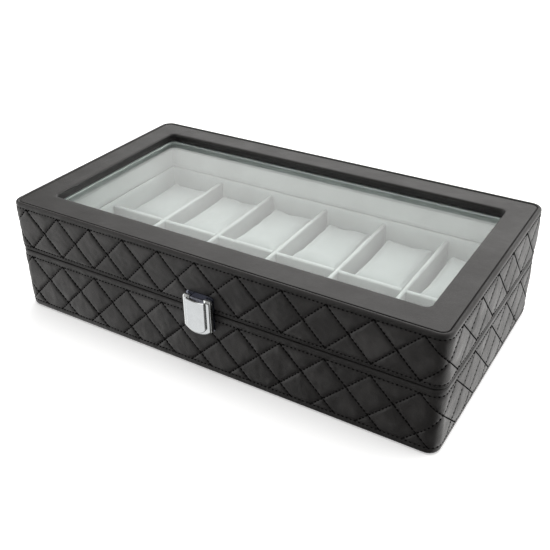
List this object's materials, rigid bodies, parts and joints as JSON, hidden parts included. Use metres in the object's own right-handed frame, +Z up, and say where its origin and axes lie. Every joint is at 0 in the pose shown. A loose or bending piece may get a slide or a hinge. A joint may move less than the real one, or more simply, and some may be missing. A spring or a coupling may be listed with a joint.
{
  "type": "watch box",
  "caption": "Rectangular watch box in quilted black leatherette with a glass window in its hinged lid, a snap clasp and padded pillows between lined dividers.",
  "frame": {"origin": "centre of the underside of the closed box", "axes": "+X along the length, to the right when facing the clasp; +Y from the clasp to the hinges; +Z up"},
  "size_m": [0.355, 0.2104, 0.0935],
  "materials": {
    "board": "raw medium-density fibreboard",
    "quilted_leather": "quilted black leatherette, fine grain, soft sheen, black stitching",
    "smooth_leather": "smooth black leatherette, very fine grain, matte sheen",
    "foam_wadding": "thin foam sheet",
    "felt": "black felt",
    "suede_lining": "pale grey suede cloth",
    "divider_velvet": "pale grey velvet over card",
    "pillow_velvet": "pale grey velvet over foam",
    "glass": "clear float glass, faint green tint",
    "hinge_nickel": "nickel-plated steel",
    "clasp_chrome": "polished chrome plate",
    "spring_steel": "blued spring steel"
  },
  "bodies": {
    "base": {"base_felt": "felt", "base_bottom_board": "board", "base_front_board": "board", "base_back_board": "board", "base_left_board": "board", "base_right_board": "board", "base_wadding": "foam_wadding", "base_quilted_cover": "quilted_leather", "base_wall_lining": "suede_lining", "base_floor_lining": "suede_lining", "divider_long": "divider_velvet", "divider_cross_1": "divider_velvet", "divider_cross_2": "divider_velvet", "divider_cross_3": "divider_velvet", "divider_cross_4": "divider_velvet", "divider_cross_5": "divider_velvet", "hinge_left_base_leaf": "hinge_nickel", "hinge_right_base_leaf": "hinge_nickel", "hinge_pins": "hinge_nickel", "hinge_base_screws": "hinge_nickel", "clasp_base_plate": "clasp_chrome", "clasp_base_nails": "clasp_chrome"},
    "lid": {"lid_front_board": "board", "lid_back_board": "board", "lid_left_board": "board", "lid_right_board": "board", "lid_frame_board": "board", "lid_wadding": "foam_wadding", "lid_quilted_cover": "quilted_leather", "lid_top_leather": "smooth_leather", "lid_glass": "glass", "lid_glass_retainer": "suede_lining", "lid_wall_lining": "suede_lining", "hinge_left_lid_leaf": "hinge_nickel", "hinge_right_lid_leaf": "hinge_nickel", "hinge_lid_screws": "hinge_nickel", "clasp_lid_plate": "clasp_chrome", "clasp_lid_nails": "clasp_chrome", "clasp_pin": "clasp_chrome"},
    "clasp_lever": {"clasp_lever": "clasp_chrome", "clasp_spring": "spring_steel"},
    "pillow_front_1": {"pillow_front_1": "pillow_velvet"},
    "pillow_front_2": {"pillow_front_2": "pillow_velvet"},
    "pillow_front_3": {"pillow_front_3": "pillow_velvet"},
    "pillow_front_4": {"pillow_front_4": "pillow_velvet"},
    "pillow_front_5": {"pillow_front_5": "pillow_velvet"},
    "pillow_front_6": {"pillow_front_6": "pillow_velvet"},
    "pillow_back_1": {"pillow_back_1": "pillow_velvet"},
    "pillow_back_2": {"pillow_back_2": "pillow_velvet"},
    "pillow_back_3": {"pillow_back_3": "pillow_velvet"},
    "pillow_back_4": {"pillow_back_4": "pillow_velvet"},
    "pillow_back_5": {"pillow_back_5": "pillow_velvet"},
    "pillow_back_6": {"pillow_back_6": "pillow_velvet"}
  },
  "joints": [
    {"name": "clasp_lever_hinge", "type": "hinge", "parent": "lid", "child": "clasp_lever", "pos_m": [0, -0.1017, 0.0632], "axis": [-1, 0, 0], "range_deg": [0, 90], "deforming": ["clasp_spring"]},
    {"name": "lid_hinge", "type": "hinge", "parent": "base", "child": "lid", "pos_m": [0, 0.1019, 0.053], "axis": [-1, 0, 0], "range_deg": [0, 95], "deforming": ["clasp_spring"]},
    {"name": "pillow_front_1_lift", "type": "slide", "parent": "base", "child": "pillow_front_1", "axis": [0, 0, 1], "range_m": [0, 0.03]},
    {"name": "pillow_front_2_lift", "type": "slide", "parent": "base", "child": "pillow_front_2", "axis": [0, 0, 1], "range_m": [0, 0.03]},
    {"name": "pillow_front_3_lift", "type": "slide", "parent": "base", "child": "pillow_front_3", "axis": [0, 0, 1], "range_m": [0, 0.03]},
    {"name": "pillow_front_4_lift", "type": "slide", "parent": "base", "child": "pillow_front_4", "axis": [0, 0, 1], "range_m": [0, 0.03]},
    {"name": "pillow_front_5_lift", "type": "slide", "parent": "base", "child": "pillow_front_5", "axis": [0, 0, 1], "range_m": [0, 0.03]},
    {"name": "pillow_front_6_lift", "type": "slide", "parent": "base", "child": "pillow_front_6", "axis": [0, 0, 1], "range_m": [0, 0.03]},
    {"name": "pillow_back_1_lift", "type": "slide", "parent": "base", "child": "pillow_back_1", "axis": [0, 0, 1], "range_m": [0, 0.03]},
    {"name": "pillow_back_2_lift", "type": "slide", "parent": "base", "child": "pillow_back_2", "axis": [0, 0, 1], "range_m": [0, 0.03]},
    {"name": "pillow_back_3_lift", "type": "slide", "parent": "base", "child": "pillow_back_3", "axis": [0, 0, 1], "range_m": [0, 0.03]},
    {"name": "pillow_back_4_lift", "type": "slide", "parent": "base", "child": "pillow_back_4", "axis": [0, 0, 1], "range_m": [0, 0.03]},
    {"name": "pillow_back_5_lift", "type": "slide", "parent": "base", "child": "pillow_back_5", "axis": [0, 0, 1], "range_m": [0, 0.03]},
    {"name": "pillow_back_6_lift", "type": "slide", "parent": "base", "child": "pillow_back_6", "axis": [0, 0, 1], "range_m": [0, 0.03]}
  ]
}
